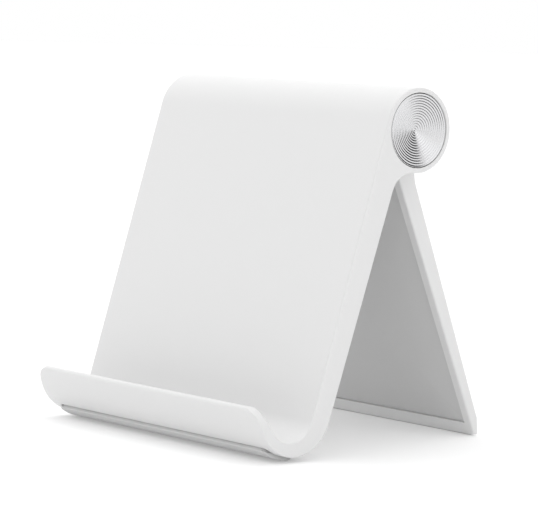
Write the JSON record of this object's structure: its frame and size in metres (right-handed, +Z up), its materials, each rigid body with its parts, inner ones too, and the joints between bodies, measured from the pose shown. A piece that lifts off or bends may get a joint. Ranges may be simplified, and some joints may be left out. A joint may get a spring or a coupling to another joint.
{
  "type": "folding phone stand",
  "caption": "White folding desk stand for a phone: a sloping plate with a hooked ledge, a swing-out rear leg and a friction hinge in a barrel with metal end discs.",
  "frame": {"origin": "middle of the footprint, on the surface the stand rests on, with the leg open at its usual angle", "axes": "+X along the hinge to the right-hand end, -Y towards the user (the hook side), +Z up"},
  "size_m": [0.0848, 0.0798, 0.0853],
  "materials": {
    "white_plastic": "fine satin moulded surface",
    "inner_plastic": "matt moulded surface",
    "silicone": "matt silicone",
    "steel": "turned",
    "brass": "turned",
    "aluminium": "turned with fine concentric grooves"
  },
  "bodies": {
    "front": {"front_shell": "white_plastic", "back_cover": "white_plastic", "front_foot_strip": "silicone", "hinge_shaft": "steel", "head_washer": "steel", "key_washer": "brass", "spring_washer_inner": "steel", "spring_washer_outer": "steel", "plain_washer": "steel", "lock_nut": "steel", "bush_left": "brass", "bush_right": "brass", "friction_disc_left": "inner_plastic", "friction_disc_right": "inner_plastic", "disc_carrier_left": "inner_plastic", "disc_carrier_right": "inner_plastic", "end_disc_left": "aluminium", "end_disc_right": "aluminium", "cover_screw_1": "steel", "cover_screw_2": "steel", "cover_screw_3": "steel", "cover_screw_4": "steel"},
    "leg": {"leg_shell": "white_plastic", "leg_panel": "inner_plastic", "leg_foot_strip": "silicone", "knuckle_sleeve": "steel"}
  },
  "joints": [
    {"name": "leg_hinge", "type": "hinge", "parent": "front", "child": "leg", "pos_m": [0, 0.00737, 0.07531], "axis": [1, 0, 0], "range_deg": [-42, 60]}
  ]
}
